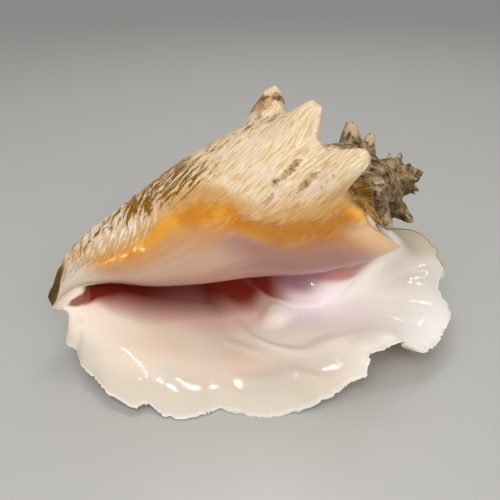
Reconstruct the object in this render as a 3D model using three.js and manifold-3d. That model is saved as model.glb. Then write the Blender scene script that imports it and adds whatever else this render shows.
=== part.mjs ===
// Conch shell lying on its back with the mouth towards the viewer: one closed solid, millimetres, +Z up.
// Shell axes used below: e runs from the coiling axis towards the lip, n out of the mouth, s from the
// siphon tip to the apex. Angles go round the axis in degrees from n, growing the way the shell grew.
import * as THREE from 'three';
import { mergeVertices } from 'three/addons/utils/BufferGeometryUtils.js';
import Module from 'manifold-3d';

// Where the shell lies: siphon tip and apex above the table, and a direction away from the lip
const TIP = new THREE.Vector3(-115.03, -30.65, 29.5);
const APEX = new THREE.Vector3(96.57, 29.35, 84.5);
const BACK_OF_LIP = new THREE.Vector3(-0.33, 0.367, 0.868);
const LENGTH = APEX.distanceTo(TIP);

// Body whorl: angle where the mouth begins, where the lip leaves the whorl, where the lip meets the spire
const ANGLE_MOUTH = -80;
const ANGLE_ROOT = 235;
const ANGLE_SEAT = 280;
// Rows are counted 0 at the siphon tip to 1 at the suture, with the shoulder at this row
const ROW_SHOULDER = 0.86;
// Shoulder of the body whorl: angle, radius, height along the axis
const SHOULDER = [
  [-80, 38.5, 197], [-58, 36, 187], [-35, 35.5, 174], [-10, 37.5, 163.5], [20, 42, 162.5], [59, 48, 158],
  [98, 53, 151], [137, 57.5, 145], [176, 62, 141], [210, 66.5, 138], [235, 69.5, 137],
];
// Radius up to the shoulder as a share of the shoulder's: over the back, at the columella, on the belly
const PROFILE_BACK = [
  [0, 0.07], [0.04, 0.12], [0.09, 0.2], [0.18, 0.3], [0.28, 0.4], [0.41, 0.54], [0.6, 0.74], [0.75, 0.86],
  [0.9, 0.965], [1, 1],
];
const PROFILE_COLUMELLA = [
  [0, 0.07], [0.04, 0.1], [0.09, 0.17], [0.135, 0.25], [0.175, 0.34], [0.27, 0.57], [0.41, 0.79],
  [0.55, 0.92], [0.75, 1.13], [0.84, 1.12], [1, 1],
];
const PROFILE_BELLY = [
  [0, 0.07], [0.09, 0.2], [0.18, 0.32], [0.28, 0.45], [0.41, 0.64], [0.6, 0.87], [0.75, 0.95], [0.9, 0.985],
  [1, 1],
];
// Angles over which the back profile passes into the columella and into the belly
const COLUMELLA_BLEND = [25, -75];
const BELLY_BLEND = [110, 225];
// Bow of the coiling axis away from the lip: height, shift along e
const AXIS_BOW = [
  [0, 0], [5, -3.5], [14, -9], [30, -13], [60, -13], [100, -12], [150, -8], [190, -2], [230, 0],
];

// Spire: shoulder radius and depth below the apex at the mouth, growth of both in one turn
const SPIRE_RADIUS = 40;
const SPIRE_DEPTH = 57;
const RADIUS_GROWTH = 2.1;
const DEPTH_GROWTH = 2.35;
const SPIRE_TURNS = 5.2;
// Suture between two whorls: share of a turn above a shoulder, how far it cuts in, shape of the cut
const SUTURE_AT = 0.42;
const SUTURE_CUT = 0.3;
const CUT_POWER_ABOVE = 0.8;
const CUT_POWER_BELOW = 0.7;
// Roundness of the ramp from the shoulder up to the suture
const RAMP_ROUND = 0.4;

// Edge of the flared lip from the siphon to the spire: row, then e, n, s
const LIP_EDGE = [
  [0, 2.2, -6.2, 2.3], [0.06, 10, -2.5, 6.5], [0.105, 23, 5, 2.5], [0.125, 27.5, 7, 6], [0.15, 35, 15.5, 7.5],
  [0.18, 42.5, 24, 13.5], [0.21, 50, 33, 18.5], [0.245, 59.5, 41.5, 29.5], [0.265, 60.5, 40, 35.5],
  [0.285, 64.5, 42.5, 38.5], [0.305, 68.5, 45.5, 42.5], [0.36, 74, 47.5, 58], [0.39, 74, 45, 65],
  [0.435, 78.5, 48, 76], [0.475, 84, 51.5, 85.5], [0.52, 86.5, 52, 98.5], [0.555, 87.5, 51, 109],
  [0.595, 87.5, 49.5, 122], [0.635, 86, 46.5, 134], [0.66, 86, 47, 142], [0.675, 82.5, 45, 145.5],
  [0.69, 78.5, 42.5, 149.5], [0.715, 78.5, 41.5, 158], [0.74, 79.5, 39.5, 167.5], [0.75, 83, 39, 169],
  [0.775, 89, 38.5, 176.5], [0.805, 89, 32, 188.5], [0.835, 84.5, 26, 199.5], [0.86, 79.5, 18.5, 207],
  [0.89, 67, 4.5, 211.5], [0.92, 60.5, -10, 226], [0.94, 49.5, -20.5, 230.5], [0.955, 39.5, -27, 230.5],
  [0.97, 36, -21.5, 217], [0.985, 37, -8, 205],
];
// Direction in which the lip runs out at its edge: row, then e, n, s
const LIP_FAN = [
  [0, 0.9, 0.2, 0], [0.05, 0.9, 0.4, 0], [0.105, 0.5, 0.2, -0.85], [0.15, 0.7, 0.4, -0.5],
  [0.21, 0.8, 0.5, -0.3], [0.305, 0.85, 0.5, -0.1], [0.5, 0.86, 0.5, 0], [0.66, 0.86, 0.5, 0.1],
  [0.74, 0.85, 0.45, 0.15],
  [0.805, 0.85, 0.25, 0.4], [0.86, 0.8, 0.1, 0.6], [0.92, 0.6, -0.1, 0.8], [0.955, 0.3, -0.2, 0.9],
  [1, 0.5, 0.3, 0.8],
];
const FAN_SHARE = 0.6;
// The edge's small waves fade out towards the mouth: rows taken together, rows where that applies, fading
const CALM_STEPS = [-0.06, -0.03, 0, 0.03, 0.06];
const CALM_STARTS = [0.12, 0.25];
const CALM_ENDS = [0.84, 0.92];
const WAVE_ACROSS = [0.7, 1];
// Pull of the lip's tangents in front and behind, and the rows over which it passes behind
const LIP_PULL = 0.9;
const LIP_PULL_BEHIND = 0.4;
const LIP_BEHIND_ROWS = [0.72, 0.92];
// Small steps for taking directions: degrees at the root, share of the lip
const ROOT_STEP = 2;
const LIP_STEP = 0.02;
const NORMAL_STEP = 2e-3;
// Lip thickness at the edge, gain towards the root, swelling beside the posterior canal and its rows
const LIP_EDGE_THICK = 2.2;
const LIP_ROOT_GAIN = 3;
const LIP_SWELLING = 4;
const SWELLING_STARTS = [0.5, 0.7];
const SWELLING_ENDS = [0.8, 0.92];
const SWELLING_ACROSS = [0.85, 0.35];
// Thinning where the lip is short, on its last lobe and at its end
const LIP_THIN_SPAN = 8;
const LIP_LOBE_THINNING = 0.55;
const LOBE_ROWS = [0.9, 0.95];
const LIP_END_ROWS = [0.96, 1];
// Gap kept where the last of the lip settles on to the spire, and its drop along the axis
const SEAT_GAP = 4;
const SEAT_DROP = 0.6;
// Rows over which the lip is laid down on the spire
const SEAT_ROWS = [0.93, 1];

// Inside of the mouth: wall, angle of its inmost part, share of the lip left outside the groove
const WALL = 5;
const ANGLE_INMOST = 85;
const THROAT = 0.42;
const THROAT_BEHIND = 0.45;
const THROAT_BEHIND_ROWS = [0.84, 0.96];
const MOUTH_OPENS = [0.06, 0.16];
const MOUTH_CLOSES = [0.6, 0.72];
// Columella inside, as a share of its radius at the mouth, and places along the way in and out
const CORE_SHARE = 0.4;
const INMOST_PINCH = 0.25;
const WALL_MEETS_LIP = 0.3;
const CORE_RISES = [0.8, 1];
const CORE_RISE_POWER = 1.3;
// Groove of the canals: pull at the lip and at the columella, its fading behind, how early it climbs
const GROOVE_PULL_LIP = 0.5;
const GROOVE_PULL_CORE = 0.6;
const GROOVE_FADE = 0.9;
const GROOVE_FADE_ROWS = [0.8, 0.95];
const GROOVE_CLIMB = 2.5;
const GROOVE_CLIMB_BEHIND = 1;
const GROOVE_CLIMB_ROWS = [0.74, 0.84];

// Spines of the body whorl: angle, length, foot radius, lean to the apex in degrees
const BODY_SPINES = [
  [215, 17.5, 17, 4], [176, 20, 17, 12], [137, 21, 16, 18], [98, 18, 16, 27], [57, 12.8, 14, 50],
  [14, 18, 13, 52], [-25, 4, 9, 20],
];
const BODY_SPINE_BLUNT = 0.24;
// Spines of the last spire whorl: angle, turn, length, foot radius, lean, bluntness, angle it points at
const SPIRE_SPINES = [
  [167, 1, 14, 7.2, 24, 0.2, 167], [128.5, 1, 11, 7.2, 24, 0.3, 128.5], [91, 1, 12.5, 7.4, 20, 0.4, 91],
  [57, 1, 9.5, 5.2, 22, 0.36, 57], [4, 0.52, 13, 8, 8, 0.25, -6], [-24, 0.5, 15, 7.5, 2, 0.25, -66],
  [-58, 1, 10, 5.5, 20, 0.2, -62],
];
// Small spines above them: first angle, step, count, size of the first, shrinking from one to the next
const SMALL_SPINE_FIRST = -462.5;
const SMALL_SPINE_STEP = 38.5;
const SMALL_SPINES = 14;
const SMALL_SPINE_LENGTH = 5.8;
const SMALL_SPINE_FOOT = 3.9;
const SMALL_SPINE_SHRINK = 0.915;
const SMALL_SPINE_LEAN = 24;
const SMALL_SPINE_BLUNT = 0.15;
const SPINE_REACH = 1.6;
// Low tooth inside the lip: row and place across the lip, height, radius, bluntness
const TOOTH = { row: 0.672, across: 0.34, height: 4, radius: 13, blunt: 0.2 };

// Facets round the body, across the lip outside and inside, through the mouth, up the spire; extra rows
const BODY_COLUMNS = 52;
const LIP_COLUMNS = 9;
const INNER_COLUMNS = 12;
const MOUTH_COLUMNS = 10;
const SPIRE_ROWS = 18;
const SPIRE_ROW_BIAS = 1.15;
const SPIRE_SETTLE = 0.25;
const EXTRA_ROWS = [0.035, 0.085, 0.455, 0.615, 0.79, 0.82, 0.85];

// Slab below the table that trims the resting places flat
const TRIM_SIDE = 600;
const TRIM_DEPTH = 60;

const radians = THREE.MathUtils.degToRad;
const vec = (e, n, s) => new THREE.Vector3(e, n, s);

function smooth(a, b, x) {
  const t = Math.min(Math.max((x - a) / (b - a), 0), 1);
  return t * t * (3 - 2 * t);
}

// Smooth curve through keyed values; the slope at a key is the mean of the slopes beside it
function curve(points) {
  const keys = points.map((p) => p[0]);
  const values = points.map((p) => p.slice(1));
  const last = keys.length - 1;
  const rise = (i) => values[i].map((v, k) => (values[i + 1][k] - v) / (keys[i + 1] - keys[i]));
  const slopes = keys.map((key, i) => {
    const before = rise(Math.max(i - 1, 0));
    const after = rise(Math.min(i, last - 1));
    return before.map((v, k) => (v + after[k]) / 2);
  });
  return (at) => {
    const x = Math.min(Math.max(at, keys[0]), keys[last]);
    let i = 0;
    while (i < last - 1 && x >= keys[i + 1]) i += 1;
    const h = keys[i + 1] - keys[i];
    const t = (x - keys[i]) / h;
    const u = 1 - t;
    return values[i].map((v, k) => v * (1 + 2 * t) * u * u + slopes[i][k] * h * t * u * u
      + values[i + 1][k] * t * t * (3 - 2 * t) - slopes[i + 1][k] * h * t * t * u);
  };
}

function hermite(a, leave, b, arrive, t) {
  const u = 1 - t;
  return a.clone().multiplyScalar((1 + 2 * t) * u * u)
    .addScaledVector(leave, t * u * u)
    .addScaledVector(b, t * t * (3 - 2 * t))
    .addScaledVector(arrive, -t * t * u);
}

const shoulderAt = curve(SHOULDER);
const backAt = curve(PROFILE_BACK);
const columellaAt = curve(PROFILE_COLUMELLA);
const bellyAt = curve(PROFILE_BELLY);
const bowAt = curve(AXIS_BOW);
const fanAt = curve(LIP_FAN);

function polar([r, s], angle) {
  const a = radians(angle);
  return vec(bowAt(s)[0] - r * Math.sin(a), r * Math.cos(a), s);
}

// Radius and height on the spire; turn counts whorls up from the last shoulder
function spire(angle, turn) {
  const age = (angle - 360 * turn - ANGLE_MOUTH) / 360;
  const f = turn - Math.floor(turn);
  const above = 1 - SUTURE_CUT * (f / SUTURE_AT) ** CUT_POWER_ABOVE;
  const on = Math.max((f - SUTURE_AT) / (1 - SUTURE_AT), 0);
  const below = 1 - SUTURE_CUT * (1 - on ** CUT_POWER_BELOW);
  const swell = f < SUTURE_AT ? above : below;
  return [SPIRE_RADIUS * RADIUS_GROWTH ** age * swell, LENGTH - SPIRE_DEPTH * DEPTH_GROWTH ** age];
}

// Radius and height on the body whorl
function body(angle, row) {
  const [radius, height] = shoulderAt(angle);
  const low = Math.min(row / ROW_SHOULDER, 1);
  if (row <= ROW_SHOULDER) {
    const mouthward = smooth(...COLUMELLA_BLEND, angle);
    const under = smooth(...BELLY_BLEND, angle);
    const share = backAt(low)[0] * (1 - mouthward - under) + columellaAt(low)[0] * mouthward
      + bellyAt(low)[0] * under;
    return [radius * share, height * low];
  }
  const up = (row - ROW_SHOULDER) / (1 - ROW_SHOULDER);
  const ease = RAMP_ROUND * smooth(0, 1, up) + (1 - RAMP_ROUND) * up;
  const [sutureRadius, sutureHeight] = spire(angle, SUTURE_AT);
  return [radius + (sutureRadius - radius) * ease, height + (sutureHeight - height) * up];
}

const bodyPoint = (angle, row) => polar(body(angle, row), angle);

const lipEnd = polar(spire(ANGLE_MOUTH, SUTURE_AT), ANGLE_MOUTH);
const edgeAt = curve([...LIP_EDGE, [1, lipEnd.x, lipEnd.y, lipEnd.z]]);

// Edge of the lip without its small waves
function calmEdge(row) {
  const near = CALM_STEPS.map((d) => vec(...edgeAt(Math.min(Math.max(row + d, 0), 1))));
  const calm = near.reduce((sum, p) => sum.add(p), vec(0, 0, 0)).divideScalar(near.length);
  const share = smooth(...CALM_STARTS, row) * (1 - smooth(...CALM_ENDS, row));
  return vec(...edgeAt(row)).lerp(calm, share);
}

// Turn of the suture under the lip, climbing one whorl from the root to the mouth
const seatTurn = (angle) => SUTURE_AT + smooth(ANGLE_ROOT, ANGLE_SEAT, angle);

// Outer face of the lip: across is 0 at the root and 1 at the edge
function lipOuter(row, across) {
  const root = bodyPoint(ANGLE_ROOT, row);
  const edge = calmEdge(row);
  const wave = vec(...edgeAt(row)).sub(edge);
  const reach = edge.clone().sub(root);
  const pull = reach.length() * (LIP_PULL + (LIP_PULL_BEHIND - LIP_PULL) * smooth(...LIP_BEHIND_ROWS, row));
  const leave = root.clone().sub(bodyPoint(ANGLE_ROOT - ROOT_STEP, row)).normalize();
  const arrive = reach.normalize().multiplyScalar(1 - FAN_SHARE);
  arrive.addScaledVector(vec(...fanAt(row)), FAN_SHARE).normalize();
  const free = hermite(root, leave.multiplyScalar(pull), edge, arrive.multiplyScalar(pull), across);
  free.addScaledVector(wave, smooth(...WAVE_ACROSS, across));
  const lay = smooth(...SEAT_ROWS, row);
  const angle = ANGLE_ROOT + (ANGLE_SEAT - ANGLE_ROOT) * across;
  const seat = polar(spire(angle, seatTurn(angle)), angle);
  const clear = vec(-Math.sin(radians(angle)), Math.cos(radians(angle)), -SEAT_DROP);
  clear.multiplyScalar(SEAT_GAP * Math.sin(Math.PI * across) * 4 * lay * (1 - lay));
  return free.lerp(seat, lay).add(clear);
}

function lipNormal(row, across) {
  const step = NORMAL_STEP;
  const over = lipOuter(row, Math.min(across + step, 1)).sub(lipOuter(row, across - step));
  const along = lipOuter(Math.min(row + step, 1), across).sub(lipOuter(Math.max(row - step, 0), across));
  return along.cross(over).normalize();
}

function lipThickness(row, across) {
  const beside = smooth(...SWELLING_STARTS, row) * (1 - smooth(...SWELLING_ENDS, row))
    * smooth(...SWELLING_ACROSS, across);
  const full = LIP_EDGE_THICK + LIP_ROOT_GAIN * (1 - across) + LIP_SWELLING * beside;
  const span = calmEdge(row).distanceTo(bodyPoint(ANGLE_ROOT, row));
  const lobe = 1 - LIP_LOBE_THINNING * smooth(...LOBE_ROWS, row);
  return full * (span / (span + LIP_THIN_SPAN)) * lobe * (1 - smooth(...LIP_END_ROWS, row));
}

const lipInner = (row, across) => lipOuter(row, across)
  .addScaledVector(lipNormal(row, across), lipThickness(row, across));

const mouthDepth = (row) => smooth(...MOUTH_OPENS, row) * (1 - smooth(...MOUTH_CLOSES, row));
const throatAt = (row) => THROAT * (1 - mouthDepth(row)) + THROAT_BEHIND * smooth(...THROAT_BEHIND_ROWS, row);

// Open groove from the lip to the columella, where the mouth has no depth
function groovePoint(row, p) {
  const throat = throatAt(row);
  const start = lipInner(row, throat);
  const end = bodyPoint(ANGLE_MOUTH, row);
  const gap = end.distanceTo(start);
  const fade = gap * (1 - GROOVE_FADE * smooth(...GROOVE_FADE_ROWS, row));
  const inwards = start.clone().sub(lipInner(row, throat + LIP_STEP)).normalize();
  inwards.multiplyScalar(GROOVE_PULL_LIP * fade);
  const point = hermite(start, inwards, end, vec(0, GROOVE_PULL_CORE * fade, 0), p);
  const behind = smooth(...GROOVE_CLIMB_ROWS, row);
  const power = GROOVE_CLIMB + (GROOVE_CLIMB_BEHIND - GROOVE_CLIMB) * behind;
  point.z = start.z + (end.z - start.z) * (1 - (1 - p) ** power);
  return point;
}

// Inside of the mouth: along the outer wall to its inmost part, then back along the columella
function deepPoint(row, p) {
  const inmost = ANGLE_ROOT + (ANGLE_INMOST - ANGLE_ROOT) * mouthDepth(row);
  if (p < 0.5) {
    const angle = ANGLE_ROOT + (inmost - ANGLE_ROOT) * (p / 0.5);
    const [r, s] = body(angle, row);
    const pinch = 1 - INMOST_PINCH * smooth(WALL_MEETS_LIP, 0.5, p);
    const point = polar([Math.max(r - WALL, 1) * pinch, s], angle);
    const [rootRadius, rootHeight] = body(ANGLE_ROOT, row);
    const shift = lipInner(row, throatAt(row));
    shift.sub(polar([Math.max(rootRadius - WALL, 1), rootHeight], ANGLE_ROOT));
    return point.addScaledVector(shift, Math.max(1 - p / WALL_MEETS_LIP, 0));
  }
  const angle = inmost - 360 + (ANGLE_MOUTH - inmost + 360) * ((p - 0.5) / 0.5);
  const [mouthRadius, mouthHeight] = body(ANGLE_MOUTH, row);
  const core = Math.min(mouthRadius, body(inmost, row)[0]);
  const back = smooth(0.5, 1, p);
  const radius = core * (CORE_SHARE + (1 - CORE_SHARE) * back) + (mouthRadius - core) * back;
  const facing = body(Math.min(angle + 360, ANGLE_ROOT), row)[1];
  const height = facing + (mouthHeight - facing) * smooth(...CORE_RISES, p) ** CORE_RISE_POWER;
  return polar([radius, height], angle);
}

const mouthPoint = (row, p) => groovePoint(row, p).lerp(deepPoint(row, p), mouthDepth(row));

// Raised feature: foot point, length, foot radius, lean, bluntness, angle it points at
function spine(base, length, foot, lean, blunt, angle) {
  const a = radians(angle);
  const l = radians(lean);
  const direction = vec(-Math.sin(a) * Math.cos(l), Math.cos(a) * Math.cos(l), Math.sin(l));
  return { base, direction, length, foot, blunt };
}

const spines = [];
for (const [angle, length, foot, lean] of BODY_SPINES) {
  spines.push(spine(bodyPoint(angle, ROW_SHOULDER), length, foot, lean, BODY_SPINE_BLUNT, angle));
}
for (const [angle, turn, ...rest] of SPIRE_SPINES) {
  spines.push(spine(polar(spire(angle, turn), angle), ...rest));
}
for (let k = 0; k < SMALL_SPINES; k += 1) {
  const angle = SMALL_SPINE_FIRST - SMALL_SPINE_STEP * k;
  const length = SMALL_SPINE_LENGTH * SMALL_SPINE_SHRINK ** k;
  const foot = SMALL_SPINE_FOOT * SMALL_SPINE_SHRINK ** k;
  const base = polar(spire(angle, 0), angle);
  spines.push(spine(base, length, foot, SMALL_SPINE_LEAN, SMALL_SPINE_BLUNT, angle));
}
const tooth = {
  base: lipInner(TOOTH.row, TOOTH.across),
  direction: lipNormal(TOOTH.row, TOOTH.across),
  length: TOOTH.height,
  foot: TOOTH.radius,
  blunt: TOOTH.blunt,
};

function raise(point, features) {
  const moved = point.clone();
  for (const f of features) {
    const from = point.clone().sub(f.base);
    const height = from.dot(f.direction);
    const off = from.addScaledVector(f.direction, -height).length() / f.foot;
    if (off < 1 && Math.abs(height) < f.foot * SPINE_REACH) {
      moved.addScaledVector(f.direction, f.length * (1 - smooth(f.blunt, 1, off)));
    }
  }
  return moved;
}

const steps = (count) => Array.from({ length: count + 1 }, (unused, i) => i / count);

// Rows up to the suture, each once round the section
const rows = [...LIP_EDGE.map((p) => p[0]), ...EXTRA_ROWS, 1].sort((a, b) => a - b);
const bodyAngles = steps(BODY_COLUMNS).map((t) => ANGLE_MOUTH + (ANGLE_ROOT - ANGLE_MOUTH) * t);
const seatAngles = steps(LIP_COLUMNS).slice(1).map((t) => ANGLE_ROOT + (ANGLE_SEAT - ANGLE_ROOT) * t);

function sectionRow(row) {
  const throat = throatAt(row);
  const outside = bodyAngles.map((angle) => raise(bodyPoint(angle, row), spines));
  const lip = steps(LIP_COLUMNS).slice(1).map((t) => lipOuter(row, t));
  const inside = steps(INNER_COLUMNS).map((t) => raise(lipInner(row, 1 - t * (1 - throat)), [tooth]));
  const mouth = steps(MOUTH_COLUMNS).slice(1, -1).map((t) => raise(mouthPoint(row, t), [tooth]));
  return [...outside, ...lip, ...inside, ...mouth];
}

// Rows of the spire above the suture; each closes on itself one whorl higher
const spireAngles = [...bodyAngles, ...seatAngles.slice(0, -1)];

function spireRow(t) {
  const k = t ** SPIRE_ROW_BIAS;
  const settle = smooth(0, SPIRE_SETTLE, k);
  return spireAngles.map((angle) => {
    const first = angle > ANGLE_ROOT ? seatTurn(angle) : SUTURE_AT;
    const even = SUTURE_AT + (angle - ANGLE_MOUTH) / 360;
    const turn = first + (even - first) * settle + k * (SPIRE_TURNS - SUTURE_AT);
    return raise(polar(spire(angle, turn), angle), spines);
  });
}

// Vertices, and the grid of their numbers
const vertices = [];
const triangles = [];
const mean = (points) => points.reduce((sum, p) => sum.add(p), vec(0, 0, 0)).divideScalar(points.length);
const put = (point) => vertices.push(point) - 1;

function band(lower, upper) {
  const count = lower.length;
  for (let i = 0; i < count; i += 1) {
    const j = (i + 1) % count;
    triangles.push([upper[i], upper[j], lower[j]], [upper[i], lower[j], lower[i]]);
  }
}

const tipNumber = put(mean(sectionRow(0)));
let ring = sectionRow(rows[1]).map(() => tipNumber);
for (const row of rows.slice(1, -1)) {
  const next = sectionRow(row).map(put);
  band(ring, next);
  ring = next;
}
const suture = sectionRow(1).slice(0, spireAngles.length).map(put);
band(ring, ring.map((unused, i) => (i < suture.length ? suture[i] : suture[0])));
ring = suture;
for (const t of steps(SPIRE_ROWS).slice(1)) {
  const next = spireRow(t).map(put);
  band(ring, next);
  ring = next;
}
const apexNumber = put(vec(0, 0, LENGTH));
band(ring, ring.map(() => apexNumber));

// Shell axes to table axes
const alongAxis = APEX.clone().sub(TIP).normalize();
const away = BACK_OF_LIP.clone().addScaledVector(alongAxis, -BACK_OF_LIP.dot(alongAxis)).normalize();
const toLip = away.clone().negate();
const outOfMouth = toLip.clone().cross(alongAxis);
const placed = vertices.map((v) => TIP.clone().addScaledVector(toLip, v.x)
  .addScaledVector(outOfMouth, v.y).addScaledVector(alongAxis, v.z));
const whole = triangles.filter(([a, b, c]) => a !== b && b !== c && c !== a);

const wasm = await Module();
wasm.setup();

const solidOf = (positions, indices) => new wasm.Manifold(new wasm.Mesh({
  numProp: 3,
  vertProperties: Float32Array.from(positions),
  triVerts: Uint32Array.from(indices),
}));

const grown = solidOf(placed.flatMap((v) => v.toArray()), whole.flat());
const slab = new THREE.BoxGeometry(TRIM_SIDE, TRIM_SIDE, TRIM_DEPTH).translate(0, 0, -TRIM_DEPTH / 2);
slab.deleteAttribute('normal');
slab.deleteAttribute('uv');
const slabMerged = mergeVertices(slab);
const table = solidOf(slabMerged.attributes.position.array, slabMerged.index.array);
const trimmed = grown.subtract(table).getMesh();

const geometry = new THREE.BufferGeometry();
geometry.setAttribute('position', new THREE.BufferAttribute(trimmed.vertProperties, 3));
geometry.setIndex(new THREE.BufferAttribute(trimmed.triVerts, 1));
geometry.computeVertexNormals();

const shell = new THREE.MeshStandardMaterial({ color: 0xe6cdb4, roughness: 0.35, metalness: 0 });
const mesh = new THREE.Mesh(geometry, shell);
mesh.name = 'conch_shell';
const group = new THREE.Group();
group.name = 'conch';
group.add(mesh);

export default group;
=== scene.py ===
"""Conch shell: fine shape, surfaces, floor, lights and camera, in the part's own frame.

The shell is made in its own axes, in millimetres: e runs from the coiling axis towards the lip, n out of the
mouth, s from the siphon tip to the apex. Angles go round the axis in degrees from n.
"""
import math
from functools import partial, reduce

import bpy
import numpy as np
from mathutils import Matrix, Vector


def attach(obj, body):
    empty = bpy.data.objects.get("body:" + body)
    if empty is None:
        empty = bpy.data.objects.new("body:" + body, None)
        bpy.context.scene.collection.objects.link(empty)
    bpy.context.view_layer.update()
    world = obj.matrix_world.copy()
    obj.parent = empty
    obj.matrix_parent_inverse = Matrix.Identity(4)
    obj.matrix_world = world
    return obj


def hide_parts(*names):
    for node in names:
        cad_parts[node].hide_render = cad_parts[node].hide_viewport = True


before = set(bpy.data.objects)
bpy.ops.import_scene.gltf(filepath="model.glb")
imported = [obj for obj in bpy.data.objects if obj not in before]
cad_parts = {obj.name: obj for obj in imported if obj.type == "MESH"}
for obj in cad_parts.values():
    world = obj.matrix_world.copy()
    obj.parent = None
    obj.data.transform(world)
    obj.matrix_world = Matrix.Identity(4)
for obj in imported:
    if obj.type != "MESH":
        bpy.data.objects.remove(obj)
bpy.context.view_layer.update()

# Where the shell lies, in millimetres: siphon tip, apex, and a direction away from the lip
TIP = np.array([-115.03, -30.65, 29.5])
APEX = np.array([96.57, 29.35, 84.5])
BACK_OF_LIP = np.array([-.33, .367, .868])
LENGTH = np.linalg.norm(APEX - TIP)

# Shape of the shell, the same values as the part's source
# Angles where the mouth begins, the lip leaves the whorl, and the lip meets the spire
ANGLE_MOUTH, ANGLE_ROOT, ANGLE_SEAT = -80.0, 235.0, 280.0
# Rows go from 0 at the siphon tip to 1 at the suture; row of the shoulder
ROW_SHOULDER = .86
# Shoulder of the body whorl: angle, radius, height along the axis
SHOULDER = [
    (-80, 38.5, 197), (-58, 36, 187), (-35, 35.5, 174), (-10, 37.5, 163.5), (20, 42, 162.5), (59, 48, 158),
    (98, 53, 151), (137, 57.5, 145), (176, 62, 141), (210, 66.5, 138), (235, 69.5, 137)]
# Share of the shoulder's radius on the way up to it: over the back, at the columella, on the belly
PROFILE_BACK = [
    (0, .07), (.04, .12), (.09, .2), (.18, .3), (.28, .4), (.41, .54), (.6, .74), (.75, .86), (.9, .965),
    (1, 1)]
PROFILE_COLUMELLA = [
    (0, .07), (.04, .1), (.09, .17), (.135, .25), (.175, .34), (.27, .57), (.41, .79), (.55, .92),
    (.75, 1.13), (.84, 1.12), (1, 1)]
PROFILE_BELLY = [
    (0, .07), (.09, .2), (.18, .32), (.28, .45), (.41, .64), (.6, .87), (.75, .95), (.9, .985), (1, 1)]
COLUMELLA_BLEND = (25, -75)
BELLY_BLEND = (110, 225)
# Bow of the axis: height, shift along e
AXIS_BOW = [
    (0, 0), (5, -3.5), (14, -9), (30, -13), (60, -13), (100, -12), (150, -8), (190, -2), (230, 0)]
# Spire: radius and depth below the apex at the mouth, growth of both in one turn, turns
SPIRE_RADIUS, SPIRE_DEPTH = 40.0, 57.0
RADIUS_GROWTH, DEPTH_GROWTH = 2.1, 2.35
SPIRE_TURNS = 5.2
# Suture between two whorls, and roundness of the ramp up to it
SUTURE_AT, SUTURE_CUT = .42, .3
CUT_POWER_ABOVE, CUT_POWER_BELOW = .8, .7
RAMP_ROUND = .4
# Edge of the lip: row, then e, n, s
LIP_EDGE = [
    (0, 2.2, -6.2, 2.3), (.06, 10, -2.5, 6.5), (.105, 23, 5, 2.5), (.125, 27.5, 7, 6), (.15, 35, 15.5, 7.5),
    (.18, 42.5, 24, 13.5), (.21, 50, 33, 18.5), (.245, 59.5, 41.5, 29.5), (.265, 60.5, 40, 35.5),
    (.285, 64.5, 42.5, 38.5), (.305, 68.5, 45.5, 42.5), (.36, 74, 47.5, 58), (.39, 74, 45, 65),
    (.435, 78.5, 48, 76), (.475, 84, 51.5, 85.5), (.52, 86.5, 52, 98.5), (.555, 87.5, 51, 109),
    (.595, 87.5, 49.5, 122), (.635, 86, 46.5, 134), (.66, 86, 47, 142), (.675, 82.5, 45, 145.5),
    (.69, 78.5, 42.5, 149.5), (.715, 78.5, 41.5, 158), (.74, 79.5, 39.5, 167.5), (.75, 83, 39, 169),
    (.775, 89, 38.5, 176.5), (.805, 89, 32, 188.5), (.835, 84.5, 26, 199.5), (.86, 79.5, 18.5, 207),
    (.89, 67, 4.5, 211.5), (.92, 60.5, -10, 226), (.94, 49.5, -20.5, 230.5), (.955, 39.5, -27, 230.5),
    (.97, 36, -21.5, 217), (.985, 37, -8, 205)]
# Direction in which the lip runs out at its edge: row, then e, n, s
LIP_FAN = [
    (0, .9, .2, 0), (.05, .9, .4, 0), (.105, .5, .2, -.85), (.15, .7, .4, -.5), (.21, .8, .5, -.3),
    (.305, .85, .5, -.1), (.5, .86, .5, 0), (.66, .86, .5, .1), (.74, .85, .45, .15), (.805, .85, .25, .4),
    (.86, .8, .1, .6), (.92, .6, -.1, .8), (.955, .3, -.2, .9), (1, .5, .3, .8)]
FAN_SHARE = .6
# Small waves of the edge fade out towards the mouth
CALM_STEPS = (-.06, -.03, 0, .03, .06)
CALM_STARTS, CALM_ENDS, WAVE_ACROSS = (.12, .25), (.84, .92), (.7, 1)
# Pull of the lip's tangents, in front and behind
LIP_PULL, LIP_PULL_BEHIND, LIP_BEHIND_ROWS = .9, .4, (.72, .92)
ROOT_STEP, LIP_STEP, NORMAL_STEP = 2.0, .02, 2e-3
# Thickness of the lip, and its swelling beside the mouth
LIP_EDGE_THICK, LIP_ROOT_GAIN, LIP_SWELLING = 2.2, 3.0, 4.0
SWELLING_STARTS, SWELLING_ENDS, SWELLING_ACROSS = (.5, .7), (.8, .92), (.85, .35)
# Thinning where the lip is short, on its last lobe and at its end
LIP_THIN_SPAN, LIP_LOBE_THINNING, LOBE_ROWS, LIP_END_ROWS = 8.0, .55, (.9, .95), (.96, 1)
# Gap where the last of the lip settles on to the spire
SEAT_GAP, SEAT_DROP, SEAT_ROWS = 4.0, .6, (.93, 1)
# Inside of the mouth: wall, angle of its inmost part, share of the lip that it takes, rows
WALL, ANGLE_INMOST = 5.0, 85.0
THROAT, THROAT_BEHIND, THROAT_BEHIND_ROWS = .42, .45, (.84, .96)
MOUTH_OPENS, MOUTH_CLOSES = (.06, .16), (.6, .72)
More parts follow.
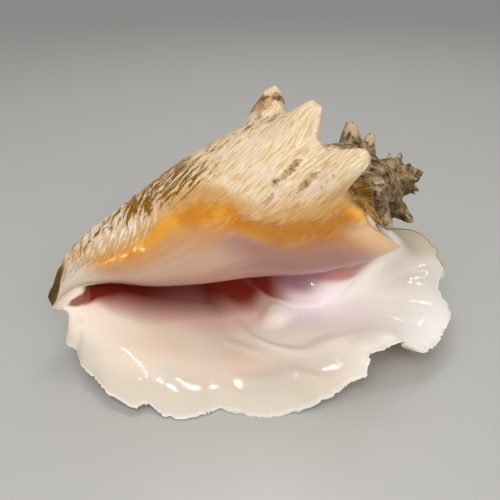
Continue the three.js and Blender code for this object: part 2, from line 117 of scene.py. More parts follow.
# Columella inside, and places along the way in and out
CORE_SHARE, LEAST_RADIUS = .4, 1.0
INMOST_AT, INMOST_PINCH, WALL_MEETS_LIP = .5, .25, .3
CORE_RISES, CORE_RISE_POWER = (.8, 1), 1.3
GROOVE_PULL_LIP, GROOVE_PULL_CORE, GROOVE_FADE, GROOVE_FADE_ROWS = .5, .6, .9, (.8, .95)
GROOVE_CLIMB, GROOVE_CLIMB_BEHIND, GROOVE_CLIMB_ROWS = 2.5, 1.0, (.74, .84)
# Spines of the body whorl: angle, length, foot radius, lean to the apex in degrees
BODY_SPINES = [
    (215, 17.5, 17, 4), (176, 20, 17, 12), (137, 21, 16, 18), (98, 18, 16, 27), (57, 12.8, 14, 50),
    (14, 18, 13, 52), (-25, 4, 9, 20)]
BODY_SPINE_BLUNT = .24
# Spines of the last spire whorl: angle, turn, length, foot radius, lean, bluntness, angle it points at
SPIRE_SPINES_BIG = [
    (167, 1, 14, 7.2, 24, .2, 167), (128.5, 1, 11, 7.2, 24, .3, 128.5), (91, 1, 12.5, 7.4, 20, .4, 91),
    (57, 1, 9.5, 5.2, 22, .36, 57), (4, .52, 13, 8, 8, .25, -6), (-24, .5, 15, 7.5, 2, .25, -66),
    (-58, 1, 10, 5.5, 20, .2, -62)]
# Small spines above them, each smaller than the last
SMALL_SPINE_FIRST, SMALL_SPINE_STEP, SMALL_SPINES = -462.5, 38.5, 14
SMALL_SPINE_LENGTH, SMALL_SPINE_FOOT, SMALL_SPINE_SHRINK = 5.8, 3.9, .915
SMALL_SPINE_LEAN, SMALL_SPINE_BLUNT = 24.0, .15
# How far above and below its foot a spine reaches, in foot radii
SPINE_REACH = 1.6
# Knob on the lip in front of the mouth: row, place across, height, radius, bluntness
TOOTH_ROW, TOOTH_ACROSS = .672, .34
TOOTH_HEIGHT, TOOTH_RADIUS, TOOTH_BLUNT = 4.0, 13.0, .2
# The hollow beside the mouth is worn smooth
SMOOTHED_ROWS, SMOOTHED_ENDS = (.5, .62), (.9, .96)
SMOOTHED_ACROSS, SMOOTHED_INTO_MOUTH, SMOOTHINGS = (.8, .55), (.6, 1), 60

# Mesh: rows besides those of the lip's edge, rows for each gap, columns of the sections
EXTRA_ROWS = [.035, .085, .455, .615, .79, .82, .85]
ROWS_BETWEEN = 7
BODY_COLUMNS, LIP_COLUMNS, RIM_COLUMNS, INNER_COLUMNS, MOUTH_COLUMNS = 140, 28, 3, 52, 22
# Rows of the spire, their spacing, and the share of them that turns into a spiral
SPIRE_ROWS, SPIRE_ROW_BIAS, SPIRE_SETTLE = 105, 1.15, .25

# The visible edge of the lip is thinner: share taken off, places across
EDGE_TAPER, EDGE_TAPER_ACROSS = .55, (.84, 1)

# Sections of the mesh
BODY, LIP, RIM, INNER, MOUTH, SPIRE = range(6)


def clamp(x):
    return np.clip(x, 0, 1)


def smooth(a, b, x):
    """Soft step from 0 at a to 1 at b."""
    t = clamp((x - a) / (b - a))
    return t * t * (3 - 2 * t)


def within(starts, ends, x):
    """1 between two soft steps, 0 outside them."""
    return smooth(*starts, x) * (1 - smooth(*ends, x))


def hermite(a, leave, b, arrive, t):
    u = 1 - t
    return a * (1 + 2 * t) * u * u + leave * t * u * u + b * t * t * (3 - 2 * t) - arrive * t * t * u


def curve(points):
    """Smooth curve through keyed values; the slope at a key is the mean of the slopes beside it."""
    table = np.array(points, float)
    k, v = table[:, 0], table[:, 1:]
    rise = np.diff(v, axis=0) / np.diff(k)[:, None]
    slope = np.concatenate([rise[:1], (rise[1:] + rise[:-1]) / 2, rise[-1:]])

    def at(x):
        x = np.clip(np.asarray(x, float), k[0], k[-1])
        i = np.clip(np.searchsorted(k, x, side="right") - 1, 0, len(k) - 2)
        h = (k[i + 1] - k[i])[..., None]
        t = (x - k[i])[..., None] / h
        out = hermite(v[i], slope[i] * h, v[i + 1], slope[i + 1] * h, t)
        return out[..., 0] if v.shape[1] == 1 else out
    return at


def unit(v):
    return v / (np.linalg.norm(v, axis=-1)[..., None] + 1e-9)


def over(values):
    """Soft step over these values, rising or falling, from where it begins to where it is full."""
    return lambda begins, full: smooth(begins, full, values)


def lattice(i, j, k, seed):
    n = (i * 374761393 + j * 668265263 + k * 1442695041 + seed * 974634777) & 0xFFFFFFFF
    n = ((n ^ (n >> 13)) * 1274126177) & 0xFFFFFFFF
    n = n ^ (n >> 16)
    return n / 2147483647.5 - 1


def noise(x, y, z, seed=0):
    """Smooth value noise from -1 to 1, one cell per unit."""
    x, y, z = np.broadcast_arrays(x, y, z)
    cell = [np.floor(a).astype(np.int64) for a in (x, y, z)]
    f = [a - c for a, c in zip((x, y, z), cell)]
    f = [a * a * (3 - 2 * a) for a in f]
    out = 0
    for corner in range(8):
        d = [(corner >> b) & 1 for b in range(3)]
        weight = 1
        for a, b in zip(f, d):
            weight = weight * (a if b else 1 - a)
        out = out + weight * lattice(cell[0] + d[0], cell[1] + d[1], cell[2] + d[2], seed)
    return out


def fbm(x, y, z, octaves, seed=0):
    out, size = 0, 1.0
    for o in range(octaves):
        out = out + size * noise(x * 2 ** o, y * 2 ** o, z * 2 ** o, seed + 17 * o)
        size *= .5
    return out


shoulder_at = curve(SHOULDER)
back_at = curve(PROFILE_BACK)
columella_at = curve(PROFILE_COLUMELLA)
belly_at = curve(PROFILE_BELLY)
bow_at = curve(AXIS_BOW)
fan_at = curve(LIP_FAN)


def polar(r, angle, s):
    """Point at a radius and an angle round the bowed axis, at a height along it."""
    a = np.radians(angle)
    return np.stack([bow_at(s) - r * np.sin(a), r * np.cos(a), s + 0 * r], -1)


def spire(angle, turn):
    """Radius and height on the spire; turn counts whorls up from the last shoulder."""
    age = (angle - 360 * turn - ANGLE_MOUTH) / 360
    f = turn - np.floor(turn)
    above = 1 - SUTURE_CUT * clamp(f / SUTURE_AT) ** CUT_POWER_ABOVE
    on = clamp((f - SUTURE_AT) / (1 - SUTURE_AT))
    below = 1 - SUTURE_CUT * (1 - on ** CUT_POWER_BELOW)
    swell = np.where(f < SUTURE_AT, above, below)
    return SPIRE_RADIUS * RADIUS_GROWTH ** age * swell, LENGTH - SPIRE_DEPTH * DEPTH_GROWTH ** age


def body(angle, row):
    """Radius and height on the body whorl."""
    top = shoulder_at(angle)
    radius, height = top[..., 0], top[..., 1]
    low = clamp(row / ROW_SHOULDER)
    up = clamp((row - ROW_SHOULDER) / (1 - ROW_SHOULDER))
    mouthward = smooth(*COLUMELLA_BLEND, angle)
    under = smooth(*BELLY_BLEND, angle)
    share = back_at(low) * (1 - mouthward - under) + columella_at(low) * mouthward + belly_at(low) * under
    ease = RAMP_ROUND * smooth(0, 1, up) + (1 - RAMP_ROUND) * up
    suture_radius, suture_height = spire(angle, SUTURE_AT + 0 * angle)
    above = row > ROW_SHOULDER
    return (np.where(above, radius + (suture_radius - radius) * ease, radius * share),
            np.where(above, height + (suture_height - height) * up, height * low))


def body_point(angle, row):
    r, s = body(angle, row)
    return polar(r, angle, s)


end_radius, end_height = spire(ANGLE_MOUTH, SUTURE_AT)
lip_end = polar(end_radius, ANGLE_MOUTH, end_height)
edge_at = curve(LIP_EDGE + [(1, *lip_end)])


def calm_edge(row):
    """Edge of the lip without its small waves, which fade out towards the mouth."""
    mean = sum(edge_at(clamp(row + d)) for d in CALM_STEPS) / len(CALM_STEPS)
    share = within(CALM_STARTS, CALM_ENDS, row)[..., None]
    return edge_at(row) * (1 - share) + mean * share


def seat_turn(angle):
    return SUTURE_AT + smooth(ANGLE_ROOT, ANGLE_SEAT, angle)


def lip_outer(row, across):
    """Back of the lip, from its root on the whorl at 0 to its edge at 1."""
    root = body_point(ANGLE_ROOT, row)
    edge = calm_edge(row)
    reach = np.linalg.norm(edge - root, axis=-1)[..., None]
    pull = reach * (LIP_PULL + (LIP_PULL_BEHIND - LIP_PULL) * smooth(*LIP_BEHIND_ROWS, row))[..., None]
    leave = unit(root - body_point(ANGLE_ROOT - ROOT_STEP, row))
    arrive = unit(unit(edge - root) * (1 - FAN_SHARE) + fan_at(row) * FAN_SHARE)
    free = hermite(root, leave * pull, edge, arrive * pull, across[..., None])
    free = free + (edge_at(row) - edge) * smooth(*WAVE_ACROSS, across)[..., None]
    angle = ANGLE_ROOT + (ANGLE_SEAT - ANGLE_ROOT) * across
    r, s = spire(angle, seat_turn(angle))
    lay = smooth(*SEAT_ROWS, row)[..., None]
    a = np.radians(angle)
    clear = np.stack([-np.sin(a), np.cos(a), 0 * a - SEAT_DROP], -1)
    clear = clear * (SEAT_GAP * np.sin(np.pi * across))[..., None] * 4 * lay * (1 - lay)
    return free * (1 - lay) + polar(r, angle, s) * lay + clear


def lip_normal(row, across):
    h = NORMAL_STEP
    sideways = lip_outer(row, np.minimum(across + h, 1)) - lip_outer(row, across - h)
    along = lip_outer(np.minimum(row + h, 1), across) - lip_outer(np.maximum(row - h, 0), across)
    return unit(np.cross(along, sideways))


def lip_thickness(row, across):
    beside = within(SWELLING_STARTS, SWELLING_ENDS, row) * smooth(*SWELLING_ACROSS, across)
    full = LIP_EDGE_THICK + LIP_ROOT_GAIN * (1 - across) + LIP_SWELLING * beside
    span = np.linalg.norm(calm_edge(row) - body_point(ANGLE_ROOT, row), axis=-1)
    lobe = 1 - LIP_LOBE_THINNING * smooth(*LOBE_ROWS, row)
    return full * span / (span + LIP_THIN_SPAN) * lobe * (1 - smooth(*LIP_END_ROWS, row))


def lip_inner(row, across):
    return lip_outer(row, across) + lip_normal(row, across) * lip_thickness(row, across)[..., None]


def mouth_depth(row):
    return within(MOUTH_OPENS, MOUTH_CLOSES, row)


def throat_at(row):
    return THROAT * (1 - mouth_depth(row)) + THROAT_BEHIND * smooth(*THROAT_BEHIND_ROWS, row)


def groove_point(row, p):
    """Open groove from the lip to the columella, where the mouth has no depth."""
    throat = throat_at(row)
    start = lip_inner(row, throat)
    end = body_point(ANGLE_MOUTH, row)
    gap = np.linalg.norm(end - start, axis=-1)[..., None]
    fade = gap * (1 - GROOVE_FADE * smooth(*GROOVE_FADE_ROWS, row))[..., None]
    inwards = unit(start - lip_inner(row, throat + LIP_STEP))
    leave = inwards * GROOVE_PULL_LIP * fade
    arrive = np.array([0, 1.0, 0]) * GROOVE_PULL_CORE * fade
    point = hermite(start, leave, end, arrive, p[..., None])
    power = GROOVE_CLIMB + (GROOVE_CLIMB_BEHIND - GROOVE_CLIMB) * smooth(*GROOVE_CLIMB_ROWS, row)
    point[..., 2] = start[..., 2] + (end - start)[..., 2] * (1 - (1 - p) ** power)
    return point


def deep_point(row, p):
    """Inside of the mouth: along the outer wall to its inmost part, then back along the columella."""
    inmost = ANGLE_ROOT + (ANGLE_INMOST - ANGLE_ROOT) * mouth_depth(row)
    angle = ANGLE_ROOT + (inmost - ANGLE_ROOT) * np.minimum(p / INMOST_AT, 1)
    r, s = body(angle, row)
    pinch = 1 - INMOST_PINCH * smooth(WALL_MEETS_LIP, INMOST_AT, p)
    inward = polar(np.maximum(r - WALL, LEAST_RADIUS) * pinch, angle, s)
    root_radius, root_height = body(ANGLE_ROOT, row)
    wall_root = polar(np.maximum(root_radius - WALL, LEAST_RADIUS), ANGLE_ROOT, root_height)
    shift = lip_inner(row, throat_at(row)) - wall_root
    inward = inward + shift * clamp(1 - p / WALL_MEETS_LIP)[..., None]
    way_back = clamp((p - INMOST_AT) / (1 - INMOST_AT))
    angle = inmost - 360 + (ANGLE_MOUTH - inmost + 360) * way_back
    mouth_radius, mouth_height = body(ANGLE_MOUTH, row)
    core = np.minimum(mouth_radius, body(inmost, row)[0])
    back = smooth(INMOST_AT, 1, p)
    facing = body(np.minimum(angle + 360, ANGLE_ROOT), row)[1]
    radius = core * (CORE_SHARE + (1 - CORE_SHARE) * back) + (mouth_radius - core) * back
    height = facing + (mouth_height - facing) * smooth(*CORE_RISES, p) ** CORE_RISE_POWER
    return np.where(p[..., None] < INMOST_AT, inward, polar(radius, angle, height))


def mouth_point(row, p):
    d = mouth_depth(row)[..., None]
    return groove_point(row, p) * (1 - d) + deep_point(row, p) * d


def spine(point, length, foot, lean, blunt, angle):
    a, l = math.radians(angle), math.radians(lean)
    way = np.array([-math.sin(a) * math.cos(l), math.cos(a) * math.cos(l), math.sin(l)])
    return point, way, length, foot, blunt


def spine_list():
    """Spines as foot point, direction, length, foot radius and bluntness."""
    out = []
    for angle, length, foot, lean in BODY_SPINES:
        base = body_point(angle, ROW_SHOULDER)
        out.append(spine(base, length, foot, lean, BODY_SPINE_BLUNT, angle))
    small = []
    for k in range(SMALL_SPINES):
        angle, size = SMALL_SPINE_FIRST - SMALL_SPINE_STEP * k, SMALL_SPINE_SHRINK ** k
        small.append((angle, 0, SMALL_SPINE_LENGTH * size, SMALL_SPINE_FOOT * size,
                      SMALL_SPINE_LEAN, SMALL_SPINE_BLUNT, angle))
    for angle, turn, *rest in SPIRE_SPINES_BIG + small:
        r, s = spire(angle, turn)
        out.append(spine(polar(r, angle, s), *rest))
    return out


def raise_features(points, features):
    """The points with the features raised, and how far up on one each point is."""
    moved = points.copy()
    top = np.zeros(points.shape[:-1])
    for base, way, length, foot, blunt in features:
        off = points - base
        h = off @ way
        d = np.linalg.norm(off - h[..., None] * way, axis=-1) / foot
        share = (1 - smooth(blunt, 1, d)) * (np.abs(h) < foot * SPINE_REACH)
        moved = moved + (share * length)[..., None] * way
        top = np.maximum(top, share)
    return moved, top


# The grid: rows from the siphon tip to the suture, each once round the section, then the spire
keys = np.array(sorted(set([p[0] for p in LIP_EDGE] + EXTRA_ROWS + [1.0])))
key_steps = np.linspace(0, len(keys) - 1, (len(keys) - 1) * ROWS_BETWEEN + 1)
rows = np.interp(key_steps, np.arange(len(keys)), keys)
body_angles = np.linspace(ANGLE_MOUTH, ANGLE_ROOT, BODY_COLUMNS + 1)
lip_steps = np.linspace(0, 1, LIP_COLUMNS + 1)
seat_angles = ANGLE_ROOT + (ANGLE_SEAT - ANGLE_ROOT) * lip_steps
spines = spine_list()
tooth_at = np.array(TOOTH_ROW), np.array(TOOTH_ACROSS)
tooth = (lip_inner(*tooth_at), lip_normal(*tooth_at), TOOTH_HEIGHT, TOOTH_RADIUS, TOOTH_BLUNT)


def sheet(steps):
    return np.meshgrid(rows, steps, indexing="ij")


row_grid, angle_grid = sheet(body_angles)
body_grid, body_top = raise_features(body_point(angle_grid, row_grid), spines)
row_grid, back_across = sheet(lip_steps)
lip_grid = lip_outer(row_grid, back_across)
row_grid, inward_steps = sheet(np.linspace(0, 1, INNER_COLUMNS + 1))
inner_across = 1 - inward_steps * (1 - throat_at(row_grid))
inner_grid = lip_inner(row_grid, inner_across)
taper = lip_thickness(row_grid, inner_across) * EDGE_TAPER * smooth(*EDGE_TAPER_ACROSS, inner_across)
inner_grid = inner_grid - lip_normal(row_grid, inner_across) * taper[..., None]
row_grid, mouth_way = sheet(np.linspace(0, 1, MOUTH_COLUMNS + 1)[1:-1])
mouth_grid = mouth_point(row_grid, mouth_way)
rim_steps = np.linspace(0, 1, RIM_COLUMNS + 2)[1:-1]
rim_grid = lip_grid[:, -1:] * (1 - rim_steps[:, None]) + inner_grid[:, :1] * rim_steps[:, None]

loop = np.concatenate([body_grid, lip_grid[:, 1:], rim_grid, inner_grid, mouth_grid], 1)
widths = [BODY_COLUMNS + 1, LIP_COLUMNS, RIM_COLUMNS, INNER_COLUMNS + 1, MOUTH_COLUMNS - 1]
row_count, around = len(rows), loop.shape[1]
kinds = np.concatenate([np.full(n, k) for k, n in enumerate(widths)])
# Place across the section: angle on the body, share of the lip's width, share of the way into the mouth
rim_across = np.ones((row_count, RIM_COLUMNS))
places = np.concatenate([angle_grid, back_across[:, 1:], rim_across, inner_across, mouth_way], 1)
worn_mouth = np.where(kinds == MOUTH, 1 - smooth(*SMOOTHED_INTO_MOUTH, places), 0)
worn = np.where(kinds == INNER, smooth(*SMOOTHED_ACROSS, places), worn_mouth)
worn = (worn * within(SMOOTHED_ROWS, SMOOTHED_ENDS, rows)[:, None])[1:-1, 1:-1, None]
for _ in range(SMOOTHINGS):
    beside = (loop[2:, 1:-1] + loop[:-2, 1:-1] + loop[1:-1, 2:] + loop[1:-1, :-2]) / 4
    loop[1:-1, 1:-1] += worn * (beside - loop[1:-1, 1:-1])
in_mouth = (kinds == INNER) | (kinds == MOUTH)
loop[:, in_mouth] = raise_features(loop[:, in_mouth], [tooth])[0]

# Spire
spire_count = BODY_COLUMNS + LIP_COLUMNS
spire_angles = np.concatenate([body_angles, seat_angles[1:-1]])
first_turn = np.where(spire_angles > ANGLE_ROOT, seat_turn(spire_angles), SUTURE_AT)
even_turn = SUTURE_AT + (spire_angles - ANGLE_MOUTH) / 360
climb = (np.linspace(0, 1, SPIRE_ROWS + 1)[1:] ** SPIRE_ROW_BIAS)[:, None]
settle = smooth(0, SPIRE_SETTLE, climb)
turns = first_turn * (1 - settle) + even_turn * settle + climb * (SPIRE_TURNS - SUTURE_AT)
angles = np.broadcast_to(spire_angles, turns.shape)
spire_radius, spire_height = spire(angles, turns)
spire_grid, spire_top = raise_features(polar(spire_radius, angles, spire_height), spines)
last = row_count - 1


def flat(loop_values, spire_values, tip_value, apex_value):
    """Values on the grid in the order of the vertices."""
    size = loop_values.shape[2:]
    return np.concatenate([
        np.reshape(tip_value, (1, *size)),
        loop_values[1:last].reshape(-1, *size),
        loop_values[last, :spire_count],
        spire_values.reshape(-1, *size),
        np.reshape(apex_value, (1, *size))])


points = flat(loop, spire_grid, loop[0].mean(0), np.array([0, 0, LENGTH]))
kind = flat(np.broadcast_to(kinds, (row_count, around)), np.full(turns.shape, SPIRE), BODY, SPIRE)
row_of = flat(np.repeat(rows[:, None], around, 1), turns, 0.0, SPIRE_TURNS)
place = flat(places, angles, 0.0, 0.0)
loop_top = np.concatenate([body_top, np.zeros((row_count, around - BODY_COLUMNS - 1))], 1)
spine_top = flat(loop_top, spire_top, 0.0, 0.0)

# Faces; the last row of the grid is the first of the spire
number = np.zeros((row_count, around), int)
number[1:last] = 1 + np.arange((last - 1) * around).reshape(last - 1, around)
first = 1 + (last - 1) * around
number[last] = first
number[last, :spire_count] = first + np.arange(spire_count)


def band(lower, upper):
    """Faces between two rows; a face whose corners fall together has fewer of them."""
    low2, up2 = np.roll(lower, -1), np.roll(upper, -1)
    quads = np.stack([upper, up2, low2, lower], 1)
    out = []
    for q in quads.tolist():
        face = [v for i, v in enumerate(q) if v not in q[:i]]
        if len(face) > 2:
            out.append(face)
    return out


faces = []
for j in range(last):
    faces += band(number[j], number[j + 1])
lower = number[last, :spire_count]
for j in range(SPIRE_ROWS):
    upper = first + spire_count * (j + 1) + np.arange(spire_count)
    faces += band(lower, upper)
    lower = upper
faces += band(lower, np.full(spire_count, len(points) - 1))


def vertex_normals(at):
    corners = np.array([f if len(f) == 4 else f + f[2:] for f in faces])
    p = at[corners]
    cross = np.cross(p[:, 2] - p[:, 0], p[:, 3] - p[:, 1])
    flat_tri = np.cross(p[:, 1] - p[:, 0], p[:, 2] - p[:, 0])
    cross = np.where((corners[:, 2] == corners[:, 3])[:, None], flat_tri, cross)
    out = np.zeros_like(at)
    for c in range(4):
        np.add.at(out, corners[:, c], cross)
    return unit(out)


normals = vertex_normals(points)

# Border of the glaze spread over the whorl: row, angle
CALLUS_BORDER = [
    (0, 30), (.1, 22), (.19, 8), (.25, 8), (.33, 16), (.385, 25), (.455, 27), (.51, 22), (.555, 14),
    (.585, 2), (.62, -9), (.66, -15), (.71, -17), (.757, -20), (.8, -17), (.84, -13), (.89, -17), (.94, -30),
    (1, -42)]
# Distance inside it: range kept, softness; least distance from the axis
CALLUS_LEAST, CALLUS_MOST, CALLUS_SOFT, AXIS_CLEAR = -30, 40, (-3, 3), 6
# Growth lines: slant, and sizes that give the way across them
GROWTH_SLANT, WHORL_RADIUS, LIP_WIDTH, INNER_WIDTH = .5, 45, 60, 70
# Near the siphon they turn: direction across them, along and round the axis; radius, rows
FRONT_ACROSS, FRONT_RADIUS, FRONT_ROWS = (.83, -.56), 20.0, (.3, .48)
# Fine and broad growth lines: width and length of a cell, height
GROWTH_FINE, GROWTH_FINE_HEIGHT = (2.6, 40), .16
GROWTH_BROAD, GROWTH_BROAD_HEIGHT = (9, 70), .3
# Cords round the whorl: spacing, wander and its cell, height near the siphon and elsewhere
CORD_STEP, CORD_WANDER, CORD_CELL, CORD_HIGH, CORD_LOW = 6.5, .8, (20, 20), .38, .07
# Roughness of the outside: cell, height
ROUGH_CELL, ROUGH_HEIGHT = 3, .13
# Eroded places: angle, row, length along the growth lines, width, depth
PIT_PATCHES = [
    (24, .752, 8, 1.8, .9), (18, .7, 2.5, 1.8, .9), (11, .778, 7, 2.2, .9), (5, .82, 6, .7, .5),
    (91, .838, 4, 2.4, .8), (86, .812, 6, 1.6, .8), (100, .82, 4, 1.8, .7), (62, .82, 4, .8, .5),
    (7, .67, 4, 1.6, .6), (150, .55, 9, 3, .8), (190, .7, 8, 3, .8), (120, .45, 6, 2, .7)]
# Old whorls: roughness, pits, patches with more of them, and the radius where these are full
OLD_ROUGH_CELL, OLD_ROUGH_HEIGHT = 4.2, .42
OLD_PIT_CELL, OLD_PIT_DEPTH = 2.3, .9
OLD_PATCH_CELL, OLD_PATCH_LEAST = 9, .35
OLD_FULL_RADIUS, OLD_LEAST = 18, .25
# Waves of the lip: number along and across, slice and seed of the noise, height
LIP_WAVES = [(9, 3.2, 7.0, 61, .9), (21, 5, 8.0, 63, .4)]
# Soft step on the inside of the lip: row, place across; and the dip along it
FOLD = [
    (.56, .4), (.575, .5), (.595, .6), (.612, .68), (.66, .73), (.688, .76), (.715, .79), (.76, .76),
    (.8, .7)]
FOLD_STEP, FOLD_DIP, FOLD_DIP_HALF = 1.0, .9, .05
# Soft valleys on it: row and place across, rows where it fades in and out, depth, half width
VALLEYS = [
    ([(.44, .74), (.462, .77), (.532, .79), (.568, .79), (.6, .9)], (.43, .48), (.575, .61), .8, .055),
    ([(.57, .88), (.612, .92), (.643, .94), (.7, .95)], (.57, .6), (.66, .7), .8, .045),
    ([(.09, .52), (.112, .6), (.129, .67), (.15, .75)], (.09, .105), (.125, .145), 1.0, .07),
    ([(.47, .42), (.512, .48), (.54, .56), (.56, .62)], (.47, .5), (.53, .56), .5, .05)]
# Glaze: thickness, its waves, and ripples near its border
GLAZE_THICK, GLAZE_WAVE_CELL, GLAZE_WAVE, RIPPLE_CELL, RIPPLE = .25, 17, .22, 5, .2
# Slit between lip and columella at the siphon end: row, way into the mouth, of its two sides
SLIT_LOW = [
    (.03, .2), (.042, .12), (.05, .08), (.064, .05), (.078, .06), (.09, .06), (.1, .03), (.105, -.05),
    (.11, -.3)]
SLIT_HIGH = [
    (.03, .12), (.039, .23), (.049, .36), (.064, .45), (.078, .5), (.088, .47), (.096, .43), (.102, .39),
    (.107, .4), (.112, .5), (.118, .9), (.123, 1.2)]
SLIT_DEPTH = .4
# Chips along the lip's edge: number and depth of waves, seed and depth of broken bits
CHIP_WAVES, CHIP_WAVE, CHIP_SEED, CHIP_BROKEN = 55, 1.2, 5, 1.7
# Notches broken out of the edge: row, half width in rows, depth
NOTCHES = [
    (.931, .006, 4.0), (.887, .008, 2.0), (.745, .006, 2.0), (.69, .006, 1.5), (.4, .008, 1.2),
    (.255, .006, 1.5)]

x, y, z = points.T
on_body, on_lip, on_rim = kind == BODY, kind == LIP, kind == RIM
on_inner, on_mouth, on_spire = kind == INNER, kind == MOUTH, kind == SPIRE
lip_or_rim = on_lip | on_rim
across = np.where(lip_or_rim | on_inner, place, 0)
by_row, by_angle, by_way_in = over(row_of), over(place), over(place)
by_across, by_spine = over(across), over(spine_top)
off_axis = np.maximum(np.hypot(x - bow_at(z), y), AXIS_CLEAR)
border = curve(CALLUS_BORDER)(row_of)
callus = np.where(on_body, np.radians(border - place) * off_axis, CALLUS_LEAST)
callus = np.clip(np.where(on_inner | on_mouth, CALLUS_MOST, callus), CALLUS_LEAST, CALLUS_MOST)
outside = 1 - smooth(*CALLUS_SOFT, callus)

# Way across the growth lines
slant = GROWTH_SLANT * z
lip_arc = np.radians(ANGLE_ROOT) * WHORL_RADIUS - slant + across * LIP_WIDTH
arc = np.where(lip_or_rim, lip_arc, across * INNER_WIDTH)
arc = np.where(on_body, np.radians(place) * WHORL_RADIUS - slant, arc)
around_axis = np.radians(place) * FRONT_RADIUS
front_line = FRONT_ACROSS[0] * z + FRONT_ACROSS[1] * around_axis
front_along = -FRONT_ACROSS[1] * z + FRONT_ACROSS[0] * around_axis
front = (1 - smooth(*FRONT_ROWS, row_of)) * on_body


def grain(cell, seed, octaves=1):
    """Noise in space, with cells of this size."""
    return fbm(x / cell, y / cell, z / cell, octaves, seed)


def growth(cell, layer, seed, octaves=1):
    """Noise along the growth lines, with cells of this width and length."""
    return fbm(arc / cell[0], z / cell[1], layer, octaves, seed)


# Fine relief of the outside, along the normal and in millimetres
grown = growth(GROWTH_FINE, 3.0, seed=5, octaves=2) * GROWTH_FINE_HEIGHT
grown = grown + growth(GROWTH_BROAD, 1.0, seed=9) * GROWTH_BROAD_HEIGHT
cords = np.cos(2 * np.pi * z / CORD_STEP + CORD_WANDER * growth(CORD_CELL, 4.0, seed=3))
cord_size = CORD_HIGH * by_row(.02, .08) * by_row(.55, .3) + CORD_LOW
rough = grain(ROUGH_CELL, seed=21, octaves=2) * ROUGH_HEIGHT
skin = (grown + cords * cord_size + rough) * outside * (on_body | on_lip)
skin = skin * np.where(on_lip, by_across(1, .8), 1)
pit = np.zeros(len(points))
for angle, row, long_mm, wide_mm, deep_mm in PIT_PATCHES:
    middle = body(angle, row)[1]
    b = (z - middle) / long_mm
    a = (np.radians(place - angle) * off_axis - GROWTH_SLANT * (z - middle)) / wide_mm
    pit = np.maximum(pit, smooth(1.3, .3, np.hypot(a, b)) * on_body * deep_mm)

# Old whorls
old_size = np.clip(off_axis / OLD_FULL_RADIUS, OLD_LEAST, 1)
old_rough = grain(OLD_ROUGH_CELL, seed=51, octaves=3) * OLD_ROUGH_HEIGHT
old_pit = smooth(.3, .6, grain(OLD_PIT_CELL, seed=53)) * OLD_PIT_DEPTH
old_patch = smooth(-.3, .3, grain(OLD_PATCH_CELL, seed=57))
old_pit = old_pit * (OLD_PATCH_LEAST + (1 - OLD_PATCH_LEAST) * old_patch)
pit = np.where(on_spire, old_pit * old_size, pit)
skin = np.where(on_spire, old_rough * old_size, skin)

# Inside of the lip
waves = sum(noise(row_of * many, across * many_across, layer, seed) * high
            for many, many_across, layer, seed, high in LIP_WAVES)
lip_wave = waves * by_across(.3, .7) * by_row(.08, .16) * by_row(.97, .9)
fold_gap = curve(FOLD)(row_of) - across
fold = smooth(-.05, .09, fold_gap) * FOLD_STEP - np.exp(-(fold_gap / FOLD_DIP_HALF) ** 2) * FOLD_DIP
fold = fold * by_row(.55, .59) * by_row(.8, .68)
for keyed, fade_in, fade_out, deep_mm, half in VALLEYS:
    gap = (curve(keyed)(row_of) - across) / half
    fold = fold - deep_mm * np.exp(-gap ** 2) * within(fade_in, fade_out, row_of)

# Glaze, slit, and all of it together
glaze_wave = grain(GLAZE_WAVE_CELL, seed=71) * GLAZE_WAVE
ripple = grain(RIPPLE_CELL, seed=73) * RIPPLE * smooth(26, 10, callus)
slit_cover = smooth(.05, -.05, place - curve(SLIT_HIGH)(row_of))
groove = smooth(-.06, .06, place - curve(SLIT_LOW)(row_of)) * slit_cover * on_mouth
groove = groove * by_row(.036, .056) * by_row(.17, .13)
relief = skin - pit
relief = np.where(on_body, relief + (1 - outside) * (GLAZE_THICK + glaze_wave + ripple), relief)
relief = np.where(on_inner, fold + lip_wave + glaze_wave, relief)
relief = np.where(lip_or_rim, relief - lip_wave, relief)
relief = np.where(on_mouth, -SLIT_DEPTH * groove, relief)

# Chips along the lip's edge, cut inwards only
lip_row = clamp(row_of)
outward = unit(edge_at(lip_row) - body_point(ANGLE_ROOT, lip_row))
broken = np.random.default_rng(CHIP_SEED).random(row_count) ** 2 * CHIP_BROKEN
chip = CHIP_WAVE * np.abs(noise(row_of * CHIP_WAVES, 0.0, 2.0, 81)) + np.interp(row_of, rows, broken)
chip = chip * by_row(.1, .14) * by_row(.96, .93)
for row, half, deep_mm in NOTCHES:
    chip = np.maximum(chip, deep_mm * clamp(1 - np.abs(row_of - row) / half))
near_edge = by_across(.9, 1) * (lip_or_rim | on_inner)
points = points + normals * relief[:, None] - outward * (chip * near_edge)[:, None]

# Shell axes to table axes
along = (APEX - TIP) / LENGTH
away = unit(BACK_OF_LIP - along * (BACK_OF_LIP @ along))
placed = TIP - points[:, :1] * away + points[:, 1:2] * np.cross(-away, along) + points[:, 2:] * along
placed[:, 2] = np.maximum(placed[:, 2], 0)

# Edges sharper than this stay sharp
SHARP_ANGLE = 60
mesh = bpy.data.meshes.new("conch_shell_fine")
mesh.from_pydata((placed / 1000).tolist(), [], faces)
mesh.polygons.foreach_set("use_smooth", np.ones(len(faces), bool))
mesh.set_sharp_from_angle(angle=math.radians(SHARP_ANGLE))


def store(name, values):
    """Values for the material, one for each vertex."""
    vector = values.ndim == 2
    data = mesh.attributes.new(name, "FLOAT_VECTOR" if vector else "FLOAT", "POINT").data
    data.foreach_set("vector" if vector else "value", values.astype(np.float32).ravel())


# What the colours go by
# Width of the amber band along the glaze's border: row, millimetres
AMBER_WIDTH = [
    (0, 1), (.1, 3), (.2, 7), (.3, 9), (.45, 13), (.55, 17), (.6, 20), (.66, 18), (.71, 17), (.757, 16),
    (.816, 13), (.9, 10), (1, 8)]
